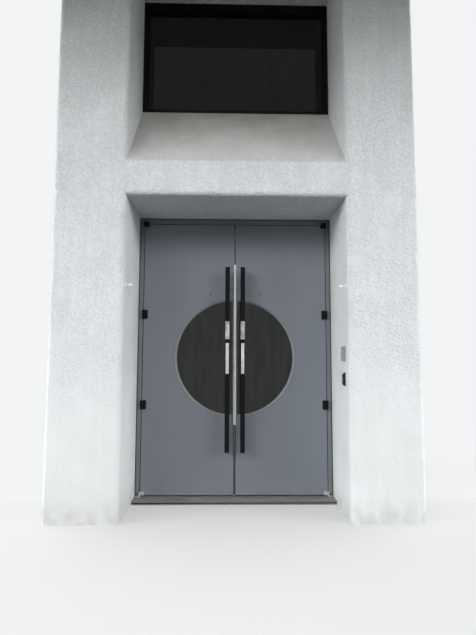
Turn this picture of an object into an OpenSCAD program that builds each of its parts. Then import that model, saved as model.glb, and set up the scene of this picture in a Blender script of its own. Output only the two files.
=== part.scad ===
// Entrance bay with a pair of swing doors that share one round window.
// The pieces of the right half are drawn at +X, and the left half mirrors them.
// X runs along the wall, Y goes into the building and Z is up from the ground.

/* [Bay] */
// Width of the bay, from party wall to party wall
bay_w = 3200; // [3000:10:3600]
// Depth of the piers, from the wall face to the back
bay_depth = 920; // [900:10:1000]
// Height of the bay over the ground
bay_h = 5420; // [5350:10:5600]
// Radius of the rounded stucco corners
corner_r = 45; // [20:1:60]
// Length of lintel and header that rests on each pier
bearing = 150; // [80:10:250]

/* [Doorway] */
// Clear width between the two reveals
opening_w = 1930; // [1880:10:2000]
// Height of the soffit over the ground
soffit_z = 2788; // [2760:1:2820]
// Depth of the recess, from the wall face to the face of the doors
recess_depth = 725; // [700:5:740]
// Height of the lintel face, up to where the sill begins to round back
lintel_h = 292; // [260:1:330]

/* [Upper window] */
// Height of the window's lower edge, where the sloped sill ends
sill_z = 3908; // [3860:1:3950]
// Height of the soffit over the window
header_z = 5115; // [5050:1:5150]
// How far the window face stands in front of the face of the doors
window_forward = 22; // [0:1:40]
// Radius of the sill's rounded lower edge
nose_r = 60; // [30:1:90]
// Depth of the window frame members
window_t = 60; // [45:1:80]
// Width of the window stiles
window_stile_w = 50; // [40:1:70]
// Height of the window's head rail
window_head_h = 80; // [60:1:100]
// Height of the window's bottom rail
window_foot_h = 32; // [25:1:50]

/* [Door frame] */
// Width of the jambs, seen from the front
jamb_w = 46; // [40:1:60]
// Height of the frame head, seen from the front
head_h = 55; // [45:1:70]
// Depth of the frame
frame_t = 120; // [110:1:140]
// How far the stop stands in from the rabbet
stop_h = 16; // [12:1:20]
// Height of the saddle's top over the ground
saddle_z = 40; // [36:1:50]
// Thickness of the saddle
saddle_t = 16; // [12:1:20]
// How far the saddle reaches in front of the doors
saddle_out = 165; // [120:5:200]

/* [Leaves] */
// Thickness of a leaf
leaf_t = 45; // [42:1:50]
// Radius of a leaf's folded edges
leaf_edge_r = 2; // [1:0.5:3]
// Gap round a leaf at the jamb and at the head
leaf_gap = 6; // [5:1:8]
// Gap between the two leaves
meeting_gap = 12; // [8:1:14]
// Gap between the saddle and a leaf
under_gap = 10; // [8:1:14]

/* [Round window] */
// Radius of the glass that shows
lite_r = 562; // [500:1:600]
// Height of the circle's centre over the ground
lite_z = 1381; // [1300:1:1450]
// How far each half circle's centre stands off the meeting line
lite_off = 15; // [14:1:25]
// Width of the glazing ring
ring_w = 24; // [22:1:30]
// How far the glazing ring stands proud of the leaf
ring_proud = 5; // [3:1:8]
// Thickness of the glass
lite_t = 12; // [8:1:16]

/* [Pulls] */
// Side of the square pull
pull_w = 45; // [35:1:50]
// Length of a pull
pull_l = 1796; // [1700:1:1850]
// Height of the pull's lower end over the ground
pull_z = 473; // [420:1:520]
// Distance of the pull's centre from the meeting line
pull_x = 75; // [65:1:90]
// Free space between the leaf and the outer pull
pull_gap = 85; // [60:1:95]
// Free space between the leaf and the inner pull
inner_gap = 60; // [50:1:80]
// Height of the grip's lower end over the ground
grip_z = 1221; // [1150:1:1300]
// Length of the grip's lower sleeve
grip_lower = 302; // [250:1:350]
// Length of the black break between the two sleeves
grip_break = 31; // [20:1:40]
// Length of the grip's upper sleeve
grip_upper = 181; // [150:1:220]
// Thickness of the grip's sleeves
sleeve_t = 2; // [1.5:0.5:3]
// Distance of the posts from the ends of a pull
post_inset = 200; // [120:5:230]

/* [Meeting bars] */
// Gap between the two meeting bars
bar_gap = 5.4; // [5:0.1:7]
// Width of a meeting bar
bar_w = 7.3; // [5:0.1:9]
// How far a meeting bar stands proud of the leaf
bar_proud = 8; // [5:1:12]
// Height of the bars' lower end over the ground
bar_z = 722; // [650:1:760]
// Length of a meeting bar
bar_l = 1593; // [1500:1:1650]

/* [Pivots] */
// Distance of the pivot line in front of the face of the doors
pivot_out = 19; // [17:1:22]
// Radius of the knuckles
knuckle_r = 10; // [9:1:12]
// Radius of the pins
pin_r = 5; // [4:0.5:6]
// Clearance between a pin and its bore, on the radius
pin_play = 0.06; // [0.03:0.01:0.09]
// Space between two knuckles
knuckle_gap = 1; // [0.5:0.5:2]
// Height of an intermediate pivot
mid_h = 88; // [75:1:100]
// Heights of the two intermediate pivots' centres over the ground
mid_z = [916, 1809];
// Height of the part of the top pivot on the leaf
top_leaf_h = 28; // [22:1:36]
// Height of the part of the top pivot on the frame
top_frame_h = 20; // [16:1:28]
// Height of the bottom pivot over the saddle
foot_h = 46; // [40:1:56]

/* [Fittings] */
// Height of the card reader's centre over the ground
reader_z = 1412; // [1300:1:1500]
// Width, height and depth of the card reader
reader_size = [70, 130, 25];
// Radius of the card reader's rounded face
reader_r = 12; // [6:1:20]
// Height of the buzzer's centre over the ground
buzzer_z = 1186; // [1080:1:1250]
// Width, height and depth of the buzzer
buzzer_size = [42, 122, 22];
// Height of the buzzer's sloped ends
buzzer_slope = 16; // [8:1:25]
// Distance of both in front of the face of the doors
device_out = 562; // [450:1:620]
// Height of the two door sensors over the ground
sensor_z = 2001; // [1990:1:2100]
// Distance of the door sensors in front of the face of the doors
sensor_out = 657; // [500:1:660]
// How far a door sensor stands out from its reveal
sensor_reach = 62; // [50:1:62]
// Radius of a door sensor's wall flange
sensor_flange_r = 22; // [16:1:26]
// Radius of a door sensor's head
sensor_head_r = 12; // [8:1:14]

/* [Hidden] */
$fn = 64;
eps = 1;

// Wall planes
face_y = -bay_depth / 2;
back_y = bay_depth / 2;
reveal_x = opening_w / 2;
pier_w = bay_w / 2 - reveal_x;
lintel_top = soffit_z + lintel_h;

// Door planes
door_y = face_y + recess_depth;
leaf_back_y = door_y + leaf_t;
rabbet_x = reveal_x - jamb_w;
rabbet_z = soffit_z - head_h;
stop_y = leaf_back_y + leaf_gap;
frame_back_y = door_y + frame_t;
heel_x = rabbet_x - leaf_gap;
toe_x = meeting_gap / 2;
leaf_z0 = saddle_z + under_gap;
leaf_z1 = rabbet_z - leaf_gap;
window_y = door_y - window_forward;

// Upper window
groove_w = 8;
groove_d = 12;
window_glass_y = window_y + window_t / 2;
window_glass_t = 6;
window_glass_play = 2;

// Saddle
saddle_in = 25;
saddle_front = door_y - saddle_out;
saddle_back = frame_back_y + saddle_in;
saddle_edge = 8;
saddle_slope = 12;
saddle_nosing = 10;
saddle_heel = 5;
rib_w = 4;
rib_pitch = 14;
rib_depth = 2;
rib_inset = 30;
rib_count = 6;

// Round window
ring_r = lite_r + ring_w;
ring_lip = 7;
lite_hole_r = ring_r - ring_lip;
lite_play = 3;
lite_shift = 1;
lite_glass_r = lite_hole_r - lite_play;
lite_seat = (leaf_t - lite_t) / 2;
lite_glass_y = door_y + lite_seat;
ring_edge = 1.5;
ring_crown = 3.75;
ring_bite = 6;
ring_set = 1;
ring_foot = 3;
ring_play = 0.5;
leg_w = 8;

// Pulls
pull_y = door_y - pull_gap - pull_w;
inner_y = leaf_back_y + inner_gap;
grip_top = grip_z + grip_lower + grip_break + grip_upper;
pull_core = pull_w - 2 * sleeve_t;
pull_edge_r = 3;
bar_edge_r = 1.5;
post_r = 10;
rose_r = 19;
rose_t = 4;

// Pivots
pivot_x = rabbet_x - leaf_gap / 2;
pivot_y = door_y - pivot_out;
arm_w = 34;
arm_x = pivot_x - knuckle_r - arm_w;
arm_t = 14;
arm_gap = 2;
web_w = 12;
web_bite = 8;
web_lap = 1;
pin_inset = 4;
bore_r = pin_r + pin_play;
mid_knuckle = (mid_h - 2 * knuckle_gap) / 3;
plate_t = 3;
plate_lap = 2;
plate_y = pivot_y + knuckle_r + plate_lap;
plate_end_y = door_y + leaf_t - 8;
top_pin_inset = 3;

// Bottom pivots
foot_rise = 2;
foot_pin_inset = 3;
foot_block_t = 8;
foot_block_gap = 6;

// Fittings
buzzer_dish_r = 12;
buzzer_dish_d = 2;
sensor_flange_t = 5;
sensor_neck_r = 5;
sensor_rim = 2;
sensor_head_l = 36;
sensor_lens_d = 2;

stucco = "#cfd4d5";
leaf_grey = "#7a7f86";
frame_grey = "#666a70";
black = "#1e2226";
steel = "#d8d8da";
silver = "#b8b8b8";
concrete = "#8c8a86";
tinted = "#30302e";

// Places a right-hand piece at the left
module left() {
  mirror([1, 0, 0]) children();
}

// Square with round corners, made of true circles
module round_rect(w, h, r) {
  square([w - 2 * r, h], center = true);
  square([w, h - 2 * r], center = true);
  for (x = [-1, 1], y = [-1, 1])
    translate([x * (w / 2 - r), y * (h / 2 - r)]) circle(r);
}

// What a rounded corner takes off a square one, with the corner at the origin
module spandrel() {
  difference() {
    translate([-eps, -eps]) square([corner_r + eps, corner_r + eps]);
    translate([corner_r, corner_r]) circle(corner_r);
  }
}

// Extrudes a shape drawn in Y and Z along X
module along_x(x0, x1) {
  translate([x0, 0, 0]) rotate([90, 0, 90]) linear_extrude(x1 - x0) children();
}

// Section of the sloped sill: it rises from a rounded nose on the lintel to the foot of the window
module sill_section() {
  nose = [face_y + nose_r, lintel_top];
  run = [window_y, sill_z] - nose;
  turn = atan2(run[1], run[0]) + acos(nose_r / norm(run));
  half = (180 - turn) / 2;
  corner = [face_y, lintel_top + nose_r * tan(half)];
  past = nose_r + eps;
  difference() {
    polygon([
      [face_y, lintel_top], corner, [window_y, sill_z], [back_y, sill_z], [back_y, lintel_top]
    ]);
    difference() {
      polygon([
        nose, nose - [past, 0], nose + past / cos(half) * [cos(turn + half), sin(turn + half)],
        nose + past * [cos(turn), sin(turn)]
      ]);
      translate(nose) circle(nose_r);
    }
  }
}

// A masonry pier with its rounded corners and the pockets that carry the beams
module pier() {
  color(stucco) difference() {
    translate([reveal_x, face_y, 0]) cube([pier_w, bay_depth, bay_h]);
    translate([reveal_x, face_y, -eps]) linear_extrude(soffit_z + eps) spandrel();
    difference() {
      translate([reveal_x, face_y, lintel_top]) linear_extrude(header_z - lintel_top) spandrel();
      along_x(reveal_x - 2 * eps, reveal_x + corner_r + eps) sill_section();
    }
    translate([bay_w / 2, face_y, -eps])
      linear_extrude(bay_h + 2 * eps) mirror([1, 0]) spandrel();
    translate([reveal_x - eps, face_y - eps, soffit_z])
      cube([bearing + eps, bay_depth + 2 * eps, lintel_h]);
    translate([reveal_x - eps, face_y - eps, header_z])
      cube([bearing + eps, bay_depth + 2 * eps, bay_h]);
  }
}

// A beam over an opening: its lower edge is rounded, and the rounding turns down at both ends
module beam(z, h) {
  beam_x = reveal_x + bearing;
  color(stucco) difference() {
    translate([-beam_x, face_y, z]) cube([2 * beam_x, bay_depth, h]);
    along_x(-reveal_x, reveal_x) translate([face_y, z]) spandrel();
    for (side = [0, 1]) mirror([side, 0, 0])
      translate([reveal_x, face_y, z]) rotate([-90, 0, 0]) rotate([0, 0, -90])
        rotate_extrude(angle = 90) difference() {
          translate([0, -eps]) square([corner_r, corner_r + eps]);
          translate([corner_r, corner_r]) circle(corner_r);
        }
  }
}

module lintel() {
  beam(soffit_z, lintel_h);
}

module header() {
  beam(header_z, bay_h - header_z);
}

module sloped_sill() {
  color(stucco) along_x(-reveal_x, reveal_x) sill_section();
}

// A window rail with its groove for the glass
module window_rail(z, h, groove_z) {
  groove_x = reveal_x - window_stile_w + groove_d;
  color(black) difference() {
    translate([-reveal_x, window_y, z]) cube([2 * reveal_x, window_t, h]);
    translate([-groove_x, window_glass_y - groove_w / 2, groove_z])
      cube([2 * groove_x, groove_w, groove_d]);
  }
}

module window_head_rail() {
  window_rail(header_z - window_head_h, window_head_h, header_z - window_head_h);
}

module window_bottom_rail() {
  window_rail(sill_z, window_foot_h, sill_z + window_foot_h - groove_d);
}

module window_stile() {
  z0 = sill_z + window_foot_h;
  z1 = header_z - window_head_h;
  color(black) difference() {
    translate([reveal_x - window_stile_w, window_y, z0])
      cube([window_stile_w, window_t, z1 - z0]);
    translate([reveal_x - window_stile_w - eps, window_glass_y - groove_w / 2, z0 - eps])
      cube([groove_d + eps, groove_w, z1 - z0 + 2 * eps]);
  }
}

module window_glass() {
  edge = groove_d - window_glass_play;
  x = reveal_x - window_stile_w + edge;
  z0 = sill_z + window_foot_h - edge;
  z1 = header_z - window_head_h + edge;
  color(tinted) translate([-x, window_glass_y - window_glass_t / 2, z0])
    cube([2 * x, window_glass_t, z1 - z0]);
}

// Concrete strip under the saddle
module door_sill() {
  color(concrete) translate([-reveal_x, saddle_front + saddle_nosing, 0])
    cube([2 * reveal_x, saddle_back - saddle_heel - saddle_front - saddle_nosing, saddle_z - saddle_t]);
}

// Metal saddle with sloped edges and shallow ribs in front of the doors
module threshold() {
  foot = saddle_z - saddle_t;
  color("#8f9191") along_x(-reveal_x, reveal_x) difference() {
    polygon([
      [saddle_front, foot], [saddle_front, saddle_z - saddle_edge],
      [saddle_front + saddle_slope, saddle_z], [saddle_back - saddle_slope, saddle_z],
      [saddle_back, saddle_z - saddle_edge], [saddle_back, foot]
    ]);
    for (i = [0 : rib_count - 1])
      translate([saddle_front + rib_inset + rib_pitch * i, saddle_z - rib_depth])
        square([rib_w, rib_depth + eps]);
  }
}

// The frame's jamb, grouted in the wall: its face, the rabbet for the leaf and the stop
module frame_jamb() {
  color(frame_grey) translate([rabbet_x, door_y, saddle_z])
    linear_extrude(rabbet_z - saddle_z) {
      square([jamb_w, frame_t]);
      translate([-stop_h, stop_y - door_y]) square([stop_h + eps, frame_back_y - stop_y]);
    }
}

module frame_head() {
  inner_x = rabbet_x - stop_h;
  color(frame_grey) {
    translate([-reveal_x, door_y, rabbet_z]) cube([2 * reveal_x, frame_t, head_h]);
    translate([-inner_x, stop_y, rabbet_z - stop_h])
      cube([2 * inner_x, frame_back_y - stop_y, stop_h + eps]);
  }
}

// Half disc of radius r that ends at the leaf's narrow meeting stile
module half_disc(r) {
  translate([lite_off, lite_z]) intersection() {
    circle(r, $fn = 180);
    translate([0, -r - eps]) square([r + eps, 2 * (r + eps)]);
  }
}

// Extrudes a shape drawn in X and Z from y0 to y1
module facing(y0, y1) {
  translate([0, y1, 0]) rotate([90, 0, 0]) linear_extrude(y1 - y0) children();
}

// A leaf with its round cut-out; its outer edges are folded to a small radius
module leaf() {
  w = heel_x - toe_x;
  h = leaf_z1 - leaf_z0;
  color(leaf_grey) intersection() {
    facing(door_y, leaf_back_y) difference() {
      translate([toe_x, leaf_z0]) square([w, h]);
      half_disc(lite_hole_r);
    }
    translate([toe_x + w / 2, door_y + leaf_t / 2, leaf_z0]) linear_extrude(h)
      round_rect(w, leaf_t, leaf_edge_r);
    along_x(toe_x, heel_x) translate([door_y + leaf_t / 2, leaf_z0 + h / 2])
      round_rect(leaf_t, h, leaf_edge_r);
  }
}

module leaf_glass() {
  color(tinted) translate([lite_shift, 0, 0]) facing(lite_glass_y, lite_glass_y + lite_t)
    half_disc(lite_glass_r);
}

// Section of the glazing ring: a lip on the leaf, a wide bevel down to the glass and a leg in the hole
module ring_section() {
  leg_r = lite_hole_r - ring_play;
  polygon([
    [lite_r, -lite_seat], [leg_r, -lite_seat], [leg_r, 0], [ring_r, 0],
    [ring_r, ring_proud - ring_edge], [ring_r - ring_edge, ring_proud],
    [ring_r - ring_crown, ring_proud], [lite_r, ring_foot - lite_seat]
  ]);
}

// Half of the glazing ring, with its back on the plane y = 0 and its face towards -Y
module glazing_ring() {
  color(frame_grey) translate([lite_off, 0, lite_z]) {
    rotate([90, 0, 0]) rotate([0, 0, -90]) rotate_extrude(angle = 180, $fn = 180)
      ring_section();
    translate([0, 0, -lite_r - ring_bite]) linear_extrude(2 * (lite_r + ring_bite))
      polygon([
        [0, ring_set], [ring_edge, ring_set], [leg_w, lite_seat - ring_foot], [leg_w, lite_seat],
        [0, lite_seat]
      ]);
  }
}

module ring_outside() {
  translate([0, door_y, 0]) glazing_ring();
}

module ring_inside() {
  translate([0, leaf_back_y, 0]) mirror([0, 1, 0]) glazing_ring();
}

// Half of the slim stainless bar over the meeting line, on this leaf's edge
module meeting_bar() {
  color(steel) translate([(bar_gap + bar_w) / 2, door_y - bar_proud / 2, bar_z])
    linear_extrude(bar_l) round_rect(bar_w, bar_proud, bar_edge_r);
}

// Black square pull, narrower where the polished sleeves go round it
module pull_bar() {
  lower_end = grip_z + grip_lower;
  color(black) translate([pull_x, pull_y + pull_w / 2, 0]) {
    for (span = [[pull_z, grip_z], [lower_end, lower_end + grip_break], [grip_top, pull_z + pull_l]])
      translate([0, 0, span[0]]) linear_extrude(span[1] - span[0])
        round_rect(pull_w, pull_w, pull_edge_r);
    translate([0, 0, grip_z]) linear_extrude(grip_top - grip_z)
      round_rect(pull_core, pull_core, pull_edge_r);
  }
}

// The two polished sleeves
module pull_grip() {
  for (part = [[grip_z, grip_lower], [grip_z + grip_lower + grip_break, grip_upper]])
    color(steel) translate([pull_x, pull_y + pull_w / 2, part[0]]) linear_extrude(part[1])
      difference() {
        round_rect(pull_w, pull_w, pull_edge_r);
        round_rect(pull_core, pull_core, pull_edge_r);
      }
}

// A post from the leaf to a pull, with its rose on the leaf; y is the leaf's face, s its direction
module post(y, s, reach) {
  translate([pull_x, y, 0]) rotate([s * 90, 0, 0]) {
    cylinder(r = post_r, h = reach);
    cylinder(r = rose_r, h = rose_t);
  }
}

module pull_posts() {
  for (z = [pull_z + post_inset, pull_z + pull_l - post_inset])
    color(black) translate([0, 0, z]) {
      post(door_y, 1, pull_gap);
      post(leaf_back_y, -1, inner_gap);
    }
}

module inner_pull() {
  color(black) translate([pull_x, inner_y + pull_w / 2, pull_z]) linear_extrude(pull_l)
    round_rect(pull_w, pull_w, pull_edge_r);
}

// One knuckle on the pivot line, with its bore
module knuckle(z, h, bored = true) {
  translate([pivot_x, pivot_y, z]) difference() {
    cylinder(r = knuckle_r, h = h);
    if (bored) translate([0, 0, -eps]) cylinder(r = bore_r, h = h + 2 * eps);
  }
}

// Arm of a pivot on the leaf's face, with the web that reaches its knuckle
module leaf_arm(z, h, web_z, web_h) {
  arm_end = pivot_x - knuckle_r - arm_gap;
  web_y = pivot_y - knuckle_r;
  translate([arm_x, door_y - arm_t, z]) cube([arm_end - arm_x, arm_t, h]);
  difference() {
    translate([arm_end - web_w, web_y, web_z])
      cube([web_w + arm_gap + knuckle_r, door_y - arm_t + web_bite - web_y, web_h]);
    translate([pivot_x, pivot_y, web_z - eps]) cylinder(r = knuckle_r - web_lap, h = web_h + 2 * eps);
  }
}

module pin(z, h) {
  translate([pivot_x, pivot_y, z]) cylinder(r = pin_r, h = h);
}

// The leaf's half of the black pivots: the top arm and the middle knuckles
module leaf_pivots() {
  color(black) {
    for (c = mid_z) {
      z = c - mid_knuckle / 2;
      leaf_arm(c - mid_h / 2, mid_h, z, mid_knuckle);
      knuckle(z, mid_knuckle, false);
      pin(c - mid_h / 2 + pin_inset, mid_h - 2 * pin_inset);
    }
    leaf_arm(leaf_z1 - top_leaf_h, top_leaf_h, leaf_z1 - top_leaf_h, top_leaf_h);
    knuckle(leaf_z1 - top_leaf_h, top_leaf_h);
  }
}

// The frame's half: outer knuckles on a plate in the rabbet, and the top bracket with its pin
module frame_pivots() {
  color(black) {
    for (c = mid_z) {
      translate([rabbet_x - plate_t, plate_y, c - mid_h / 2])
        cube([plate_t, plate_end_y - plate_y, mid_h]);
      for (z = [c - mid_h / 2, c + mid_h / 2 - mid_knuckle]) {
        knuckle(z, mid_knuckle);
        translate([rabbet_x - plate_t, pivot_y + knuckle_r - plate_lap, z])
          cube([plate_t, 3 * plate_lap, mid_knuckle]);
      }
    }
    top_z = leaf_z1 + knuckle_gap;
    knuckle(top_z, rabbet_z + top_frame_h - top_z, false);
    pin(leaf_z1 - top_leaf_h + top_pin_inset, top_leaf_h);
    translate([arm_x, door_y - arm_t, rabbet_z])
      cube([pivot_x - arm_x, arm_t, top_frame_h]);
  }
}

// Silver arm at the foot of the leaf
module foot_pivot() {
  z = saddle_z + foot_h / 2;
  h = foot_h / 2;
  color(silver) {
    leaf_arm(leaf_z0 + foot_rise, z + h - leaf_z0 - foot_rise, z, h);
    knuckle(z, h);
  }
}

// Silver blocks on the saddle, each with the pin that carries a leaf
module floor_pivots() {
  h = foot_h / 2 - knuckle_gap;
  for (side = [0, 1]) color(silver) mirror([side, 0, 0]) {
    translate([pivot_x, pivot_y, saddle_z]) {
      cylinder(r = knuckle_r, h = h);
      cylinder(r = pin_r, h = foot_h - foot_pin_inset);
    }
    translate([pivot_x, pivot_y - knuckle_r, saddle_z])
      cube([reveal_x - pivot_x - foot_block_gap, 2 * knuckle_r, foot_block_t]);
  }
}

// Puts a shape drawn in depth and height on the right reveal and gives it a width along Y
module on_reveal(z, w) {
  translate([reveal_x, door_y - device_out + w / 2, z]) rotate([90, 0, 0])
    linear_extrude(w) mirror([1, 0]) children();
}

// Card reader: a box whose face is rounded at its corners and at both ends
module card_reader() {
  w = reader_size[0];
  h = reader_size[1];
  d = reader_size[2];
  color("#8e8e8e") intersection() {
    on_reveal(reader_z, w) round_rect(2 * d, h, reader_r);
    translate([reveal_x - d, door_y - device_out, reader_z]) rotate([90, 0, 90])
      linear_extrude(d) round_rect(w, h, reader_r / 2);
  }
}

// Buzzer: a box with sloped ends and a shallow dish round its button
module door_buzzer() {
  h = buzzer_size[1];
  d = buzzer_size[2];
  color("#161616") difference() {
    on_reveal(buzzer_z, buzzer_size[0]) polygon([
      [0, -h / 2], [d, buzzer_slope - h / 2], [d, h / 2 - buzzer_slope], [0, h / 2]
    ]);
    translate([reveal_x - d - eps, door_y - device_out, buzzer_z]) rotate([0, 90, 0])
      cylinder(r = buzzer_dish_r, h = buzzer_dish_d + eps);
  }
}

// A small white sensor on each reveal: a wall flange, a thin neck and a round head
module door_sensors() {
  for (side = [0, 1]) color("white") mirror([side, 0, 0])
    translate([reveal_x, door_y - sensor_out, sensor_z]) rotate([0, -90, 0]) {
      cylinder(r = sensor_flange_r, h = sensor_flange_t);
      cylinder(r = sensor_neck_r, h = sensor_reach - sensor_head_l + eps);
      translate([0, 0, sensor_reach - sensor_head_l]) difference() {
        union() {
          cylinder(r1 = sensor_neck_r, r2 = sensor_head_r, h = sensor_neck_r);
          translate([0, 0, sensor_neck_r])
            cylinder(r = sensor_head_r, h = sensor_head_l - sensor_neck_r);
        }
        translate([0, 0, sensor_head_l - sensor_lens_d])
          cylinder(r = sensor_head_r - sensor_rim, h = sensor_lens_d + eps);
      }
    }
}

left() pier();  // pier_left
pier();  // pier_right
lintel();
sloped_sill();
header();
window_head_rail();
window_bottom_rail();
left() window_stile();  // window_stile_left
window_stile();  // window_stile_right
window_glass();
door_sill();
threshold();
frame_head();
left() frame_jamb();  // frame_jamb_left
frame_jamb();  // frame_jamb_right
left() frame_pivots();  // frame_pivots_left
frame_pivots();  // frame_pivots_right
floor_pivots();
card_reader();
door_buzzer();
door_sensors();
left() leaf();  // left_leaf
left() leaf_glass();  // left_glass
left() ring_outside();  // left_ring_outside
left() ring_inside();  // left_ring_inside
left() meeting_bar();  // left_meeting_bar
left() pull_bar();  // left_pull_bar
left() pull_grip();  // left_pull_grip
left() pull_posts();  // left_pull_posts
left() inner_pull();  // left_inner_pull
left() leaf_pivots();  // left_leaf_pivots
left() foot_pivot();  // left_foot_pivot
leaf();  // right_leaf
leaf_glass();  // right_glass
ring_outside();  // right_ring_outside
ring_inside();  // right_ring_inside
meeting_bar();  // right_meeting_bar
pull_bar();  // right_pull_bar
pull_grip();  // right_pull_grip
pull_posts();  // right_pull_posts
inner_pull();  // right_inner_pull
leaf_pivots();  // right_leaf_pivots
foot_pivot();  // right_foot_pivot
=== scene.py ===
"""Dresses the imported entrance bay: stucco, doors, glass, metal and small fittings."""

import logging
import math
from collections.abc import Callable, Iterable
from dataclasses import dataclass, replace
from enum import Enum
from functools import cache, cached_property

import bmesh
import bpy
from mathutils import Matrix, Vector


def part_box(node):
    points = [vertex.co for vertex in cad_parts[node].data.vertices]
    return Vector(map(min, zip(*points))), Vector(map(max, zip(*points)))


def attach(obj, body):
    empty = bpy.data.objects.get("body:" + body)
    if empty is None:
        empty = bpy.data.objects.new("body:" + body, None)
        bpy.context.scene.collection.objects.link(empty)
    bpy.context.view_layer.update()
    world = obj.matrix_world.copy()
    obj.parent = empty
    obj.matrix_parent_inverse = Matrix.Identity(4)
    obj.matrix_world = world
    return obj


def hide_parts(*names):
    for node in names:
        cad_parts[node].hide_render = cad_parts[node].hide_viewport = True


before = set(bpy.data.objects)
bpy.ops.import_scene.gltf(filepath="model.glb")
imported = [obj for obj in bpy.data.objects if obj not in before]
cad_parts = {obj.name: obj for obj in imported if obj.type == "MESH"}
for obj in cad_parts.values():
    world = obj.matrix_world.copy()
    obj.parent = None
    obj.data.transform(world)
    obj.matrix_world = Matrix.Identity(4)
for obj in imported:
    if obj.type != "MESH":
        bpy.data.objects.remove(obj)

Piece = bpy.types.Object
Socket = bpy.types.NodeSocket
Span = tuple[float, float]
Triple = tuple[float, float, float]

LOG = logging.getLogger("entrance_bay")
MM = 0.001
MIX_A, MIX_B, MIX_RESULT = 6, 7, 2  # The colour sockets of a Mix node
SMOOTH_ANGLE = math.radians(35)
OUT, IN, UP = (0, -1, 0), (0, 1, 0), (0, 0, 1)
FACING = 0.9  # The least share of a normal along the axis that a face is said to face
LAP = 0.5 * MM  # How deep a fitting sits in what carries it
THIN_LAP = 0.2 * MM
NEAR = 0.1 * MM  # Places that are closer than this are taken as one
DOUBLE = 0.02 * MM  # Vertices that are closer than this are merged
MASONRY = ("pier_left", "pier_right", "lintel", "sloped_sill", "header")


class Body(Enum):
    """The bodies that a piece can ride on."""

    ROOT = "root"
    LEFT = "left_door"
    RIGHT = "right_door"


class Element(Enum):
    """What is picked in edit mode."""

    VERTEX = "VERT"
    EDGE = "EDGE"
    FACE = "FACE"


class Side(Enum):
    """A half of the bay, with the sign of its X."""

    LEFT = -1
    RIGHT = 1

    @property
    def body(self) -> Body:
        """The body of this side's door."""
        return Body.LEFT if self is Side.LEFT else Body.RIGHT

    @property
    def word(self) -> str:
        """The word that starts the names of this side's pieces."""
        return self.name.lower()

    def x(self, right: float) -> float:
        """Puts an X of the right half on this side."""
        return right * self.value


def linear(code: str) -> tuple[float, float, float, float]:
    """Turns an sRGB hex colour to linear red, green, blue and alpha.

    Args:
        code: the colour, such as #C5CBCB.

    Returns:
        The linear values, with alpha 1.
    """
    values = [int(code[i:i + 2], 16) / 255 for i in (1, 3, 5)]
    red, green, blue = (v / 12.92 if v <= 0.04045 else ((v + 0.055) / 1.055) ** 2.4 for v in values)
    return red, green, blue, 1.0


def add_node(
    tree: bpy.types.NodeTree, kind: str, inputs: dict[str | int, object] | None = None, **settings: object
) -> bpy.types.Node:
    """Adds a node with its settings and links.

    Args:
        tree: the node tree of a material or the world.
        kind: the node's type, such as ShaderNodeTexNoise.
        inputs: a value or another node's output for each input, by name or number.
        settings: the node's own properties.

    Returns:
        The new node.
    """
    node = tree.nodes.new(kind)
    for name, value in settings.items():
        setattr(node, name, value)
    for key, value in (inputs or {}).items():
        if isinstance(value, Socket):
            tree.links.new(value, node.inputs[key])
        else:
            node.inputs[key].default_value = value
    return node


def within(tree: bpy.types.NodeTree, pattern: object, of: Socket, span: Span, share: Span = (0, 1)) -> Socket:
    """Keeps a pattern to a stretch of a value, where it comes in smoothly.

    Args:
        tree: the node tree.
        pattern: the pattern's output, or a number.
        of: the value to go by.
        span: the values where the pattern has its least and its full share.
        share: its least and its full share.

    Returns:
        The output with the masked pattern.
    """
    ends = {"From Min": span[0], "From Max": span[1], "To Min": share[0], "To Max": share[1]}
    amount = add_node(tree, "ShaderNodeMapRange", {"Value": of, **ends}, interpolation_type="SMOOTHSTEP")
    masked = add_node(tree, "ShaderNodeMath", {0: pattern, 1: amount.outputs[0]}, operation="MULTIPLY")
    return masked.outputs[0]


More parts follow.
